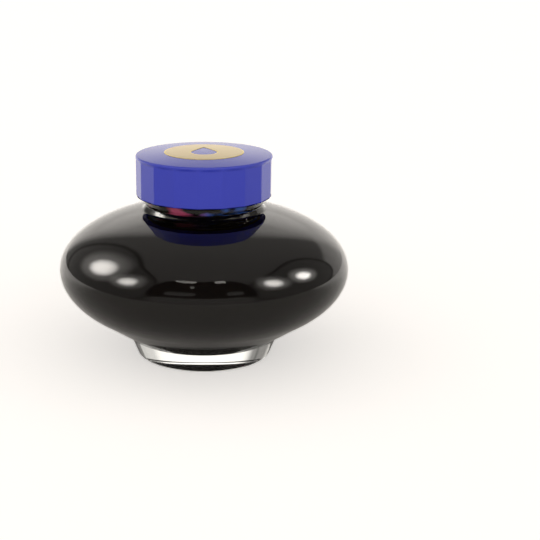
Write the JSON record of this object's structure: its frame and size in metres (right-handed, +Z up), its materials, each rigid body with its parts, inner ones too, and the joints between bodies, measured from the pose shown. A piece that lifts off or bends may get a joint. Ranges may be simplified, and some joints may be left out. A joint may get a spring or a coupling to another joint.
{
  "type": "ink bottle",
  "caption": "Round flattened glass ink bottle on a clear foot, with a flat-sided screw cap, sealing disc and gold foil on the crown.",
  "frame": {"origin": "on the surface the bottle stands on, under the bottle's axis", "axes": "+Z up along the bottle's axis through the neck; the body is round, and X runs to the right as seen from -Y"},
  "size_m": [0.084, 0.084, 0.0601],
  "materials": {
    "glass_bottle": "clear fire-polished glass",
    "ink": "near-black liquid ink",
    "cap_shell": "satin blue moulding",
    "cap_insert": "black moulding",
    "cap_liner": "white foam disc",
    "emblem_foil": "hot-stamped gold foil"
  },
  "bodies": {
    "bottle": {"glass_bottle": "glass_bottle", "ink": "ink"},
    "seal": {"cap_liner": "cap_liner"},
    "cap": {"cap_shell": "cap_shell", "cap_insert": "cap_insert", "emblem_foil": "emblem_foil"}
  },
  "joints": [
    {"name": "cap_rise", "type": "slide", "parent": "bottle", "child": "seal", "axis": [0, 0, 1], "range_m": [0, 0.0149]},
    {"name": "cap_turn", "type": "hinge", "parent": "seal", "child": "cap", "pos_m": [0, 0, 0.0535], "axis": [0, 0, 1], "range_deg": [0, 1260]}
  ],
  "couplings": [
    {"joint": "cap_rise", "follows": "cap_turn", "m_per_rad": 0.00067376}
  ]
}
